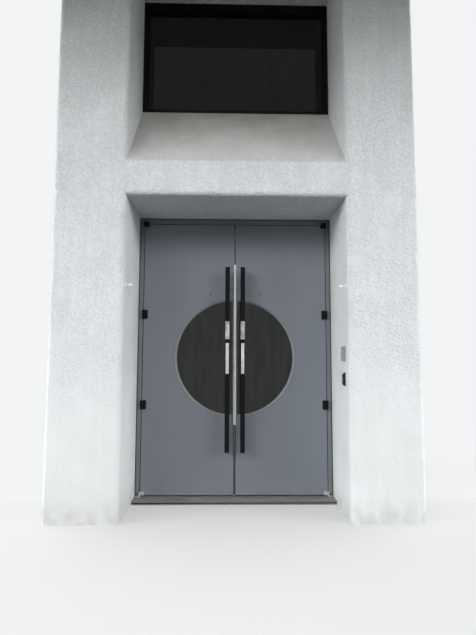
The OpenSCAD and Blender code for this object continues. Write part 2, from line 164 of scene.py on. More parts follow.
class Coat:
    """A material in the making: its surface shader, and what changes over the object's place."""

    def __init__(self, name: str, **sockets: object) -> None:
        """Starts a material.

        Args:
            name: the material's name.
            sockets: values for the surface shader's sockets, with underscores for spaces.
        """
        self.material = bpy.data.materials.new(name)
        self.material.use_nodes = True
        self.tree = self.material.node_tree
        self.surface = self.tree.nodes["Principled BSDF"]
        for socket, value in sockets.items():
            self.surface.inputs[socket.replace("_", " ")].default_value = value

    @cached_property
    def place(self) -> Socket:
        """The place on the object, which the patterns follow."""
        return self.add("ShaderNodeTexCoord").outputs["Object"]

    def add(self, kind: str, inputs: dict | None = None, **settings: object) -> bpy.types.Node:
        """Adds a node to this material, as add_node does."""
        return add_node(self.tree, kind, inputs, **settings)

    def by_height(self, pattern: Socket, z: Span, share: Span) -> Socket:
        """Keeps a pattern to a stretch of height over the ground, as within does."""
        height = self.add("ShaderNodeSeparateXYZ", {0: self.place}).outputs["Z"]
        return within(self.tree, pattern, height, z, share)

    def paint(self, base: str, *films: tuple[Socket, str]) -> None:
        """Lays films of colour over a base colour, each by its own mask, and paints the surface so.

        Args:
            base: the sRGB hex colour under them.
            films: a mask and an sRGB hex colour for each film.
        """
        colour: object = linear(base)
        for mask, film in films:
            mixed = self.add(
                "ShaderNodeMix", {0: mask, MIX_A: colour, MIX_B: linear(film)}, data_type="RGBA")
            colour = mixed.outputs[MIX_RESULT]
        self.tree.links.new(colour, self.surface.inputs["Base Color"])

    def emboss(self, *reliefs: tuple[Socket, float]) -> None:
        """Raises the surface by patterns, one on top of another.

        Args:
            reliefs: a pattern and its depth in millimetres for each.
        """
        normal = None
        for height, depth_mm in reliefs:
            inputs = {"Height": height, "Distance": depth_mm * MM, "Strength": 1.0}
            if normal is not None:
                inputs["Normal"] = normal
            normal = self.add("ShaderNodeBump", inputs).outputs[0]
        self.tree.links.new(normal, self.surface.inputs["Normal"])

    def polish(self, roughness: Socket) -> None:
        """Gives the surface a roughness that changes from place to place."""
        self.tree.links.new(roughness, self.surface.inputs["Roughness"])


@dataclass(frozen=True)
class Clouds:
    """A cloudy pattern at a real size.

    Attributes:
        size_mm: the size of its patches.
        low: the value in its hollows.
        high: the value on its peaks.
        stretch: how much longer the patches are along X, Y and Z.
        detail: how many finer layers it has.
        spread: how far from its middle the pattern reaches both values.
        shift: an offset that makes it another pattern of the same size.
    """

    size_mm: float
    low: float = 0
    high: float = 1
    stretch: Triple = (1, 1, 1)
    detail: float = 4
    spread: float = 0.16
    shift: float = 0

    def on(self, coat: Coat) -> Socket:
        """Adds the pattern to a coat.

        Args:
            coat: the coat.

        Returns:
            The output with the pattern's values.
        """
        spaced = coat.add(
            "ShaderNodeMapping",
            {"Vector": coat.place, "Location": (self.shift,) * 3,
             "Scale": tuple(1 / s for s in self.stretch)})
        noise = coat.add(
            "ShaderNodeTexNoise",
            {"Vector": spaced.outputs[0], "Scale": 1 / (self.size_mm * MM), "Detail": self.detail})
        ranged = coat.add(
            "ShaderNodeMapRange",
            {"Value": noise.outputs[0], "From Min": 0.5 - self.spread, "From Max": 0.5 + self.spread,
             "To Min": self.low, "To Max": self.high})
        return ranged.outputs[0]


@dataclass(frozen=True)
class Film:
    """A film in patches, of dust, dirt and wear, and in some finishes of painted shade, which may have its
    least and full share at two heights.
    """

    colour: str
    patches: Clouds
    z: Span | None = None
    share: Span = (0, 1)

    def mask(self, coat: Coat) -> Socket:
        """Adds the film's mask to a coat."""
        patches = self.patches.on(coat)
        return coat.by_height(patches, self.z, self.share) if self.z else patches


@dataclass(frozen=True)
class Finish:
    """A finish of one colour under films of others, with a relief of a depth and its own gloss.

    Its roughness is a number, or a pattern where hands, feet or weather have changed it.
    """

    name: str
    colour: str
    films: tuple[Film, ...]
    relief: Clouds | None
    depth_mm: float
    roughness: float | Clouds
    specular: float = 0.5
    metallic: float = 0
    clear: float = 0
    ior: float = 1.5

    def material(self) -> bpy.types.Material:
        """Makes the material.

        Returns:
            The material.
        """
        coat = Coat(
            self.name, Specular_IOR_Level=self.specular, Metallic=self.metallic,
            Transmission_Weight=self.clear, IOR=self.ior)
        coat.paint(self.colour, *((film.mask(coat), film.colour) for film in self.films))
        if isinstance(self.roughness, Clouds):
            coat.polish(self.roughness.on(coat))
        else:
            coat.surface.inputs["Roughness"].default_value = self.roughness
        if self.relief:
            coat.emboss((self.relief.on(coat), self.depth_mm))
        return coat.material

    def named(self, name: str, colour: str, film: str, **changes: object) -> "Finish":
        """The same finish under another name, in other colours and with other changes."""
        return replace(
            self, name=name, colour=colour, films=(replace(self.films[0], colour=film),), **changes)


@dataclass(frozen=True)
class FloatedStucco:
    """Cement stucco floated by hand and painted white: matte, pitted in patches, smooth between them.

    Rain splashes its foot, water runs down its faces, and dust lies where it faces up. Painted shade
    darkens it in broad grey patches towards the ground, in the hollows of its pits, and at the top of
    the sill, where the dust is laid thicker.
    """

    name: str = "floated_white_stucco"
    paint: str = "#E6EBED"
    # Painted shade: the colour of the pits' hollows
    pit: str = "#CACFD1"
    roughness: float = 0.93
    specular: float = 0.2
    # Painted shade: a grey in broad patches that deepens towards the ground
    grey: Film = Film("#CACDCD", Clouds(900, 0.4, detail=3, shift=3), (2.7, 0.3), (0.15, 0.9))
    streaks: Film = Film("#CACDCD", Clouds(60, 0, 0.35, (1, 1, 9), shift=3))
    soil: Film = Film("#A09B93", Clouds(80, 0.1, 1, (1, 1, 1.6), shift=7), (0.25, 0), (0, 0.45))
    # Dust on faces that face up, and painted shade: its share rises towards the top of the sill, for the
    # shade of the overhang
    dust: Film = Film("#ACA69C", Clouds(260, 0.65, 1, (1, 1, 2), shift=7), (3.05, 3.95), (0.42, 0.9))
    upward: Span = (0.15, 0.5)
    pits: Clouds = Clouds(16, detail=3, spread=0.17)
    pit_depth_mm: float = 7.5
    patches: Clouds = Clouds(210, 0.6, detail=3, spread=0.2)
    smooth_z: Span = (0.5, 1.7)
    smooth_share: Span = (0.3, 1)
    grain: Clouds = Clouds(7, detail=2)
    grain_depth_mm: float = 1.6

    def material(self) -> bpy.types.Material:
        """Makes the material.

        Returns:
            The material.
        """
        coat = Coat(self.name, Roughness=self.roughness, Specular_IOR_Level=self.specular)
        pitted = coat.by_height(self.patches.on(coat), self.smooth_z, self.smooth_share)
        # The hollows get the painted shade; the relief is the same pattern
        hollows, relief = (
            within(coat.tree, pattern.on(coat), pitted, (0, 1))
            for pattern in (replace(self.pits, low=1, high=0), self.pits))
        normal = coat.add("ShaderNodeNewGeometry").outputs["Normal"]
        facing_up = coat.add("ShaderNodeSeparateXYZ", {0: normal}).outputs["Z"]
        dust_and_shade = within(coat.tree, self.dust.mask(coat), facing_up, self.upward)
        grey, streaks, soil = ((f.mask(coat), f.colour) for f in (self.grey, self.streaks, self.soil))
        # Painted shade: the grey, the pit hollows and the dust's rise towards the sill's top. Stains: the
        # streaks, the soil and the dust on up-facing faces
        coat.paint(self.paint, grey, streaks, (hollows, self.pit), soil, (dust_and_shade, self.dust.colour))
        coat.emboss((relief, self.pit_depth_mm), (self.grain.on(coat), self.grain_depth_mm))
        return coat.material


# In the real finishes, grain, orange peel, die lines and grinding lines are 0.1 to 3 mm in size. They
# are too fine to show in the render, so they are drawn as coarse as they need to be to show.

STUCCO = FloatedStucco()

# Steel-trowelled concrete: grey, matte, mottled, with a fine sandy grain
CONCRETE = Finish(
    "trowelled_concrete", "#9B9892", (Film("#7D7A74", Clouds(120, 0, 0.7)),),
    Clouds(4, detail=3), 0.5, 0.88, specular=0.3)

# Sprayed enamel on metal or primed wood: satin, with orange peel, smudges and a film of dust
FRAME_ENAMEL = Finish(
    "grey_frame_enamel", "#70757A",
    (Film("#A4A6A6", Clouds(380, 0, 0.07, (1, 1, 2.5))),
     Film("#A4A6A6", Clouds(45, 0.1, 1, (1.5, 1, 1), shift=5), (0.30, 0.04), (0, 0.12))),
    Clouds(9, detail=2), 0.05, Clouds(160, 0.37, 0.49, (1, 1, 1.7)), specular=0.2)

# The same enamel on the leaves: a little bluer
LEAF_ENAMEL = replace(FRAME_ENAMEL, name="grey_leaf_enamel", colour="#777C85")

# The same enamel on the glazing rings, with a finer peel. Its paler colour is painted light, for the bevel
# that catches the light from above
LIT_RING_ENAMEL = replace(
    FRAME_ENAMEL, name="grey_ring_enamel", colour="#85898D", relief=Clouds(5, detail=2))

# Dark tinted float glass: mirror smooth, nearly black from outside, with a thin film of dust. Its IOR
# is below that of glass, because a white studio all round reflects more than open air does.
WINDOW_GLASS = Finish(
    "dark_window_glass", "#141312", (Film("#040404", Clouds(60, 0, 0.4, (1, 1, 6))),),
    None, 0, 0, clear=1, ior=1.2)

# The same float glass with a paler tint
DOOR_GLASS = replace(WINDOW_GLASS, name="tinted_door_glass", colour="#2A2B2A", ior=1.3)

# Mill-finish aluminium that feet have worn: pale grey metal, scuffed along X, dirt in the ribs
SADDLE_METAL = Finish(
    "worn_mill_aluminium", "#A6A8A7",
    (Film("#6B6864", Clouds(110, 0.1, 0.65, (2.5, 1, 1), shift=2)),
     Film("#6B6864", Clouds(30, 0.7, detail=3), (0.0395, 0.0383), (0, 0.8))),
    Clouds(14, 0, 1, (14, 1, 1)), 0.12, Clouds(14, 0.38, 0.6, (14, 1, 1)), metallic=0.3)

# Extruded aluminium, anodised black: dark, satin, with faint die lines along the bar and dust
WINDOW_BLACK = Finish(
    "black_anodised_aluminium", "#0B0B0C", (Film("#3A3936", Clouds(130, 0, 0.15, (2, 1, 1))),),
    Clouds(3, stretch=(60, 1, 1), detail=2), 0.06, 0.45, specular=0.06)

# Stainless steel ground lengthwise and polished by hands: bright, with fine vertical lines
GRIP_STEEL = Finish(
    "handled_stainless_steel", "#DADAD8", (Film("#A3A3A0", Clouds(24, 0, 0.7, (1, 1, 2.5))),),
    Clouds(2, stretch=(1, 1, 80), detail=2), 0.004, Clouds(45, 0.16, 0.3, (1, 1, 2)), metallic=1)

# The same steel where hands rub it most: greyer, with dark patches
RUBBED_STEEL = GRIP_STEEL.named("hand_rubbed_stainless_steel", "#C6C8C8", "#4A4B4B")

# The same steel where few hands touch it: bright and clean
BAR_STEEL = GRIP_STEEL.named("bright_stainless_steel", "#F4F4F3", "#DCDCDA")

# Powder coat baked on metal: even and satin, with a fine pimpled skin and rubbed patches
PULL_BLACK = Finish(
    "black_powder_coat", "#0F1113", (Film("#212428", Clouds(70, 0, 0.3, (1, 1, 4))),),
    Clouds(2.2, detail=2), 0.05, Clouds(70, 0.48, 0.34, (1, 1, 4)), specular=0.07)

# Forged steel, blackened in hot oil: darker than the pulls, and glossier where it is rubbed
PIVOT_BLACK = PULL_BLACK.named(
    "blackened_steel", "#0C0E10", "#2B2E31", roughness=Clouds(70, 0.41, 0.27, (1, 1, 4)))

# Die-cast metal with a silver finish: soft metallic grey, slightly pitted and grimy
SILVER = Finish(
    "silver_cast_metal", "#D6D6D4", (Film("#77746F", Clouds(18, 0, 0.4)),),
    Clouds(2.5, detail=3), 0.08, 0.36, metallic=0.5)

# Injection-moulded plastic with a spark-eroded skin: matte, finely grained, paler where dusty
READER_GREY = Finish(
    "grey_reader_plastic", "#8A8B8B", (Film("#A3A29F", Clouds(30, 0, 0.25)),),
    Clouds(1.8, detail=2), 0.07, 0.55, specular=0.35)

# The same kind of plastic in black: glossier, with brown dust
BUZZER_BLACK = READER_GREY.named("black_buzzer_plastic", "#101113", "#35342F", roughness=0.42)

# White stoving enamel: clean, smooth and the brightest thing on the bay
SENSOR_WHITE = READER_GREY.named("white_enamel_sensor", "#F4F6F7", "#DCDDDC", roughness=0.35)

# Extruded seal rubber: black and dull, with a dusty bloom
RUBBER = Finish(
    "black_seal_rubber", "#0C0C0C", (Film("#242320", Clouds(40, 0, 0.5)),),
    Clouds(2, detail=2), 0.2, 0.78, specular=0.15)

# Dense pile woven into a carrier: the darkest black, with fine lines where the fibres lie
BRUSH = RUBBER.named(
    "black_brush_pile", "#070707", "#161615", relief=Clouds(2, stretch=(6, 1, 1), detail=2))

# Silicone run from a gun and tooled by hand: dull dark grey, and for the window a dark bronze
SEALANT = RUBBER.named("grey_silicone_sealant", "#2F3133", "#454745")
DARK_SEALANT = RUBBER.named("bronze_silicone_sealant", "#161412", "#2C2A26")

NODE_FINISHES = {
    STUCCO: MASONRY,
    CONCRETE: ("door_sill",),
    WINDOW_BLACK: ("window_head_rail", "window_bottom_rail", "window_stile_left", "window_stile_right"),
    WINDOW_GLASS: ("window_glass",),
    SADDLE_METAL: ("threshold",),
    FRAME_ENAMEL: ("frame_head", "frame_jamb_left", "frame_jamb_right"),
    PIVOT_BLACK: ("frame_pivots_left", "frame_pivots_right"),
    SILVER: ("floor_pivots",),
    READER_GREY: ("card_reader",),
    BUZZER_BLACK: ("door_buzzer",),
    SENSOR_WHITE: ("door_sensors",),
}
LEAF_NODE_FINISHES = {
    LEAF_ENAMEL: ("leaf",),
    DOOR_GLASS: ("glass",),
    LIT_RING_ENAMEL: ("ring_outside", "ring_inside"),
    BAR_STEEL: ("meeting_bar",),
    PULL_BLACK: ("pull_bar", "pull_posts", "inner_pull"),
    PIVOT_BLACK: ("leaf_pivots",),
    SILVER: ("foot_pivot",),
}


@cache
def material_of(finish: object) -> bpy.types.Material:
    """Makes the material of a finish once."""
    return finish.material()


def dress(piece: Piece, finish: object) -> None:
    """Gives a piece, or a CAD node, its finish.

    Args:
        piece: the object.
        finish: the finish for all its slots.
    """
    if not piece.material_slots:
        piece.data.materials.append(None)
    for slot in piece.material_slots:
        slot.material = material_of(finish)


def deselect_all() -> None:
    """Leaves edit mode and deselects everything, because an operator acts on all that is selected."""
    if bpy.context.mode != "OBJECT":
        bpy.ops.object.mode_set(mode="OBJECT")
    bpy.ops.object.select_all(action="DESELECT")


def take(piece: Piece) -> None:
    """Selects one object alone and makes it active.

    Args:
        piece: the object.
    """
    deselect_all()
    piece.select_set(True)
    bpy.context.view_layer.objects.active = piece


def settle_place(name: str) -> Piece:
    """Names the new primitive and moves its place, turn and scale into its mesh.

    Args:
        name: its name.

    Returns:
        The new object.
    """
    piece = bpy.context.active_object
    piece.name = piece.data.name = name
    bpy.ops.object.transform_apply(location=True, rotation=True, scale=True)
    return piece


def block(name: str, corner: Triple, opposite: Triple) -> Piece:
    """Adds a cube primitive between two corners.

    Args:
        name: the piece's name.
        corner: one corner, in metres.
        opposite: the corner farthest from it, on any side.

    Returns:
        The object, at the origin, with its place in its mesh.
    """
    low, high = (Vector(tuple(map(end, corner, opposite))) for end in (min, max))
    deselect_all()
    bpy.ops.mesh.primitive_cube_add(size=1, location=(low + high) / 2, scale=high - low)
    return settle_place(name)


def turned(
    name: str, centre: Triple, radius: float, height: float, sides: int, direction: Triple = UP
) -> Piece:
    """Adds a cylinder primitive.

    Args:
        name: the piece's name.
        centre: the middle of its foot.
        radius: its radius.
        height: its height.
        sides: how many sides it has.
        direction: where it points.

    Returns:
        The object, at the origin, with its place in its mesh.
    """
    way = Vector(direction).normalized()
    deselect_all()
    bpy.ops.mesh.primitive_cylinder_add(
        vertices=sides, radius=radius, depth=height, location=Vector(centre) + way * height / 2,
        rotation=way.to_track_quat("Z", "Y").to_euler())
    return settle_place(name)


def pick(piece: Piece, element: Element, test: Callable[[object], bool]) -> None:
    """Enters edit mode and selects what passes a test of its place or normal.

    Args:
        piece: the object.
        element: vertices, edges or faces.
        test: called with each, true for those to be picked.
    """
    if bpy.context.mode != "EDIT_MESH" or bpy.context.active_object is not piece:
        take(piece)
        bpy.ops.object.mode_set(mode="EDIT")
    bpy.ops.mesh.select_mode(type=element.value)
    bpy.ops.mesh.select_all(action="DESELECT")
    mesh = bmesh.from_edit_mesh(piece.data)
    group = {Element.VERTEX: mesh.verts, Element.EDGE: mesh.edges, Element.FACE: mesh.faces}[element]
    for item in group:
        item.select_set(test(item))
    bmesh.update_edit_mesh(piece.data)


def everything(_: object) -> bool:
    """True for whatever is tested."""
    return True


def on_top(face: bmesh.types.BMFace) -> bool:
    """True for a face that faces up."""
    return face.normal.z > FACING


def face_middle(face: bmesh.types.BMFace) -> Vector:
    """The middle of a face."""
    return face.calc_center_median()


def tidy_mesh(piece: Piece) -> None:
    """Merges doubles and turns the faces outwards.

    Args:
        piece: the object.
    """
    take(piece)
    bpy.ops.object.mode_set(mode="EDIT")
    bpy.ops.mesh.select_all(action="SELECT")
    bpy.ops.mesh.remove_doubles(threshold=DOUBLE)
    bpy.ops.mesh.normals_make_consistent(inside=False)
    bpy.ops.object.mode_set(mode="OBJECT")


def smooth(piece: Piece) -> None:
    """Shades a piece smooth, apart from its sharp edges."""
    take(piece)
    bpy.ops.object.shade_smooth_by_angle(angle=SMOOTH_ANGLE)


def soften(piece: Piece, width: float, segments: int = 2) -> None:
    """Rounds a piece's sharp edges with a bevel modifier and shades it smooth.

    Args:
        piece: the object.
        width: the bevel's width.
        segments: how many steps it has.
    """
    take(piece)
    bevel = piece.modifiers.new("Bevel", "BEVEL")
    bevel.width = width
    bevel.segments = segments
    bevel.limit_method = "ANGLE"
    bevel.angle_limit = SMOOTH_ANGLE
    bpy.ops.object.modifier_apply(modifier=bevel.name)
    smooth(piece)


def copies(pattern: Piece, name: str, places: Iterable[Matrix]) -> Piece:
    """Copies a piece to each place and joins the copies to one mesh; the pattern is deleted.

    Args:
        pattern: the piece, modelled at the origin.
        name: the joined piece's name.
        places: where each copy goes.

    Returns:
        The joined piece.
    """
    made = []
    for place in places:
        copy = pattern.copy()
        copy.data = pattern.data.copy()
        copy.data.transform(place)
        bpy.context.collection.objects.link(copy)
        made.append(copy)
    bpy.data.objects.remove(pattern)
    return joined(name, made)


def joined(name: str, parts: list[Piece]) -> Piece:
    """Joins objects to one with a new name.

    Args:
        name: the new name.
        parts: the objects.

    Returns:
        The joined object.
    """
    deselect_all()
    for part in parts:
        part.select_set(True)
    bpy.context.view_layer.objects.active = parts[0]
    if len(parts) > 1:
        bpy.ops.object.join()
    parts[0].name = parts[0].data.name = name
    return parts[0]


def seat(piece: Piece, body: Body, finish: object) -> None:
    """Finishes a piece: its material and the body that it rides on.

    Args:
        piece: the object.
        body: what carries it.
        finish: its finish.
    """
    deselect_all()
    dress(piece, finish)
    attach(piece, body.value)
    LOG.info("%s: %d faces, on %s", piece.name, len(piece.data.polygons), body.value)


def place_at(point: Triple, direction: Triple) -> Matrix:
    """The matrix that puts a piece modelled up +Z at a point, with +Z along a direction."""
    turn = Vector(direction).to_track_quat("Z", "Y").to_matrix().to_4x4()
    return Matrix.Translation(Vector(point)) @ turn


@dataclass
class Screw:
    """A crosshead screw with a low domed head."""

    radius: float = 5 * MM
    head: float = 1.6 * MM
    recess: float = 1.1 * MM
    rim: float = 2.0 * MM
    dome: float = 0.7 * MM
    top_slack: float = 0.3 * MM
    cross_share: float = 0.36
    sides: int = 12

    def model(self) -> Piece:
        """Models the head at the origin, pointing up: a disc, its rim lowered and a cross cut in.

        Returns:
            The object.
        """
        piece = turned("screw", (0, 0, -THIN_LAP), self.radius, self.head, self.sides)
        crown = (0, 0, self.head)
        top = self.head - self.top_slack
        pick(piece, Element.FACE, on_top)
        bpy.ops.mesh.inset(thickness=self.rim)
        bpy.ops.transform.rotate(value=math.pi / self.sides, orient_axis="Z", center_override=crown)

        def between_arms(vertex: bmesh.types.BMVert) -> bool:
            """True for an inner vertex on a diagonal."""
            inner = vertex.co.z > top and vertex.co.xy.length < self.radius - self.rim + NEAR
            return inner and abs(abs(vertex.co.x) - abs(vertex.co.y)) < NEAR

        pick(piece, Element.VERTEX, between_arms)
        bpy.ops.transform.resize(value=(self.cross_share, self.cross_share, 1), center_override=crown)
        pick(piece, Element.FACE, lambda f: on_top(f) and face_middle(f).xy.length < NEAR)
        bpy.ops.mesh.extrude_region_move(TRANSFORM_OT_translate={"value": (0, 0, -self.recess)})
        pick(piece, Element.VERTEX, lambda v: v.co.z > top and v.co.xy.length > self.radius - NEAR / 2)
        bpy.ops.transform.translate(value=(0, 0, -self.dome))
        tidy_mesh(piece)
        return piece


@dataclass
class Gasket:
    """A rectangular loop of seal in the plane of the wall, mitred at its corners."""

    name: str
    width: float
    depth: float
    y: float
    x: float
    z: Span
    open_foot: bool = False
    round_share: float = 0.3

    def model(self) -> Piece:
        """Models the loop from a plane: inset, its middle deleted, extruded towards -Y and rounded.

        Returns:
            The object.
        """
        low, high = self.z
        deselect_all()
        bpy.ops.mesh.primitive_plane_add(
            size=1, location=(0, self.y, (low + high) / 2), rotation=(math.pi / 2, 0, 0))
        bpy.context.active_object.scale = (2 * self.x, high - low, 1)
        piece = settle_place(self.name)
        pick(piece, Element.FACE, everything)
        bpy.ops.mesh.inset(thickness=self.width)
        bpy.ops.mesh.delete(type="FACE")
        if self.open_foot:
            pick(piece, Element.FACE, lambda f: face_middle(f).z < low + self.width)
            bpy.ops.mesh.delete(type="FACE")
        pick(piece, Element.FACE, everything)
        bpy.ops.mesh.extrude_region_move(TRANSFORM_OT_translate={"value": (0, -self.depth, 0)})
        tidy_mesh(piece)
        soften(piece, min(self.width, self.depth) * self.round_share)
        return piece

    def build_both(self, inside_y: float, finish: object) -> None:
        """Builds and seats the loop at the outside, and the same one at the inside.

        Args:
            inside_y: the plane that the inner loop lies on.
            finish: their finish.
        """
        for word, y in (("outside", self.y), ("inside", inside_y + self.depth)):
            loop = replace(self, name=f"{self.name}_{word}", y=y)
            seat(loop.model(), Body.ROOT, finish)


@dataclass
class StuccoSkin:
    """The stucco coat as one skin over piers, beams and sill: wavy where a float has passed.

    It lies within the CAD solids, because each wave goes inwards.
    """

    grid: float = 30 * MM
    merge: float = 0.8 * MM
    edge: float = 1 * MM
    wave_size: float = 0.16
    wave_depth: float = 2.5 * MM
    ripple_size: float = 0.07
    ripple_depth: float = 1.2 * MM
    calm_y: Span = (0.14, 0.235)
    plain_y: float = 0.24
    calm_foot: float = 30 * MM

    def build(self) -> None:
        """Builds and seats the skin."""
        skin = self.merged_solids()
        self.score(skin)
        self.weigh(skin)
        self.displace(skin, "waves", self.wave_size, self.wave_depth)
        self.displace(skin, "ripples", self.ripple_size, self.ripple_depth)
        smooth(skin)
        skin.vertex_groups.clear()
        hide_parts(*MASONRY)
        seat(skin, Body.ROOT, STUCCO)

    def solid(self, name: str) -> Piece:
        """Copies a CAD node to an object of its own, without its stored normals and its doubles.

        Args:
            name: the node.

        Returns:
            The copy.
        """
        copy = bpy.data.objects.new(f"{name}_copy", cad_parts[name].data.copy())
        bpy.context.collection.objects.link(copy)
        copy.data.materials.clear()
        take(copy)
        bpy.ops.mesh.customdata_custom_splitnormals_clear()
        tidy_mesh(copy)
        return copy

    def merged_solids(self) -> Piece:
        """Joins copies of the solids to one, without the faces where they meet.

        Returns:
            The joined skin.
        """
        skin, *others = [self.solid(name) for name in MASONRY]
        for other in others:
            take(skin)
            union = skin.modifiers.new("Union", "BOOLEAN")
            union.operation = "UNION"
            union.solver = "EXACT"
            union.object = other
            bpy.ops.object.modifier_apply(modifier=union.name)
            bpy.data.objects.remove(other)
        skin.name = skin.data.name = "stucco_skin"
        return skin

    def score(self, skin: Piece) -> None:
        """Cuts the faces that show at the front to a grid, so that they can be wavy.

        Args:
            skin: the skin, as it is after the solids are joined.
        """
        low, high = (Vector(c) for c in (skin.bound_box[0], skin.bound_box[6]))

        def hidden(face: bmesh.types.BMFace) -> bool:
            """Tells the back, the party walls, the top and the foot from what shows at the front.

            Args:
                face: a face of the skin.

            Returns:
                True for one that doesn't show at the front.
            """
            normal, middle = face.normal, face_middle(face)
            at_side = abs(middle.x) > high.x - self.edge
            at_end = middle.z > high.z - self.edge or middle.z < low.z + self.edge
            return (
                normal.y > FACING or abs(normal.x) > FACING and at_side or abs(normal.z) > FACING and at_end)

        pick(skin, Element.FACE, hidden)
        bpy.ops.mesh.hide(unselected=False)
        for axis, top in enumerate((high.x, self.plain_y, high.z)):
            normal = [float(i == axis) for i in range(3)]
            for i in range(1, int((top - low[axis]) / self.grid) + 1):
                place = [0.0, 0.0, 0.0]
                place[axis] = low[axis] + i * self.grid
                bpy.ops.mesh.select_all(action="SELECT")
                bpy.ops.mesh.bisect(plane_co=place, plane_no=normal)
        bpy.ops.mesh.reveal(select=False)
        bpy.ops.mesh.select_all(action="SELECT")
        bpy.ops.mesh.remove_doubles(threshold=self.merge)
        bpy.ops.mesh.dissolve_degenerate(threshold=self.merge)
        bpy.ops.mesh.normals_make_consistent(inside=False)
        bpy.ops.object.mode_set(mode="OBJECT")

    def weigh(self, skin: Piece) -> None:
        """Weighs each point: full waves at the front, none by the frames, at the back or at the foot.

        Args:
            skin: the skin.
        """
        group = skin.vertex_groups.new(name="floated")
        near, far = self.calm_y
        for vertex in skin.data.vertices:
            depth = (far - vertex.co.y) / (far - near)
            height = vertex.co.z / self.calm_foot
            group.add([vertex.index], min(1, max(0, depth)) * min(1, max(0, height)), "REPLACE")

    def displace(self, skin: Piece, name: str, size: float, depth: float) -> None:
        """Presses a cloudy pattern of one size into the skin.

        Args:
            skin: the skin.
            name: the pattern's name.
            size: the size of its waves.
            depth: how deep they go.
        """
        clouds = bpy.data.textures.new(name, "CLOUDS")
        clouds.noise_scale = size
        press = skin.modifiers.new(name, "DISPLACE")
        press.texture = clouds
        press.texture_coords = "LOCAL"
        press.strength = depth
        press.mid_level = 1.0
        press.vertex_group = "floated"
        take(skin)
        bpy.ops.object.modifier_apply(modifier=press.name)


@dataclass
class UpperWindow:
    """What the upper window has beside its rails and glass: gaskets, a sealant bead and screws."""

    gasket: Span = (9 * MM, 4 * MM)
    bead: Span = (9 * MM, 7 * MM)
    screw_inset: float = 120 * MM
    screw_r: float = 4 * MM

    def build(self) -> None:
        """Builds and seats the pieces."""
        foot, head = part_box("window_bottom_rail"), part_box("window_head_rail")
        stile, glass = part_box("window_stile_right"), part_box("window_glass")
        sight = (foot[1].z, head[0].z)
        Gasket("window_gasket", *self.gasket, glass[0].y, stile[0].x, sight).build_both(
            glass[1].y, RUBBER)
        Gasket("window_sealant", *self.bead, foot[0].y, foot[1].x, (foot[0].z, head[1].z)).build_both(
            foot[1].y, DARK_SEALANT)
        places = [
            place_at((side.x(stile[0].x + stile[1].x) / 2, foot[1].y, z), IN)
            for side in Side
            for z in (sight[0] + self.screw_inset, sight[1] - self.screw_inset)]
        screws = copies(Screw(radius=self.screw_r).model(), "window_frame_screws", places)
        seat(screws, Body.ROOT, PIVOT_BLACK)


@dataclass
class Doorway:
    """What the door frame and the saddle have beside their members: sealant, seals and screws."""

    bead: float = 8 * MM
    leaf_gap: float = 6 * MM
    stop_seal_w: float = 10 * MM
    stop_seal_d: float = 3.5 * MM
    stop_reach: float = 13 * MM
    stop_drop: float = 3 * MM
    rabbet_t: float = 3.8 * MM
    rabbet_y: Span = (3 * MM, 34 * MM)
    rabbet_round: float = 1 * MM
    screw_r: float = 5.5 * MM
    screw_sink: float = 0.9 * MM
    screw_step: float = 0.38
    screw_count: int = 5
    saddle_rows: Span = (0.150, 0.395)
    nose_seal_and_shadow_h: float = 10 * MM
    nose_inset: float = 1 * MM
    nose_round: float = 2 * MM

    def build(self) -> None:
        """Builds and seats the pieces."""
        self.frame_seals()
        self.saddle_screws()
        self.nose_seal_and_shadow()

    def frame_seals(self) -> None:
        """Runs sealant round the frame at both faces, and lays black seals on its stop and its rabbet."""
        jamb, leaf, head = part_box("frame_jamb_right"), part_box("right_leaf"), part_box("frame_head")
        outline = (head[1].x, (jamb[0].z, head[1].z), True)
        Gasket("frame_sealant", self.bead, self.bead, jamb[0].y, *outline).build_both(
            jamb[1].y, SEALANT)

        stop_seal = Gasket(
            "frame_stop_seal", self.stop_seal_w, self.stop_seal_d, leaf[1].y + self.leaf_gap,
            jamb[0].x + self.stop_reach, (jamb[0].z, jamb[1].z - self.stop_drop), True)
        seat(stop_seal.model(), Body.ROOT, RUBBER)

        # Black seals in the rabbet, close behind the leaves' faces: real seals, which also stand for the
        # shade in the gaps round the leaves
        rabbet, top = leaf[1].x + self.leaf_gap, jamb[1].z
        near, far = (leaf[0].y + y for y in self.rabbet_y)
        parts = [block("seal", (-rabbet, near, top - self.rabbet_t), (rabbet, far, top + THIN_LAP))]
        for side in Side:
            inner, outer = side.x(rabbet - self.rabbet_t), side.x(rabbet + THIN_LAP)
            parts.append(block("seal", (inner, near, jamb[0].z), (outer, far, top)))
        seal = joined("rabbet_seals_and_shade", parts)
        soften(seal, self.rabbet_round)
        seat(seal, Body.ROOT, RUBBER)

    def saddle_screws(self) -> None:
        """Sets countersunk screws along the front and the back of the saddle."""
        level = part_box("threshold")[1].z - self.screw_sink
        half = (self.screw_count - 1) / 2
        places = [
            place_at(((i - half) * self.screw_step, y, level), UP)
            for y in self.saddle_rows
            for i in range(self.screw_count)]
        screws = copies(Screw(radius=self.screw_r).model(), "saddle_screws", places)
        seat(screws, Body.ROOT, SADDLE_METAL)

    def nose_seal_and_shadow(self) -> None:
        """Lays a black seal under the saddle's nose, in front of the concrete, which also stands for the
        shadow line under the nose.
        """
        (low, high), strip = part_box("threshold"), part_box("door_sill")
        seal = block(
            "saddle_seal_and_shadow", (low.x, low.y + self.nose_inset, low.z - self.nose_seal_and_shadow_h),
            (high.x, strip[0].y + LAP, low.z + THIN_LAP))
        soften(seal, self.nose_round)
        seat(seal, Body.ROOT, RUBBER)


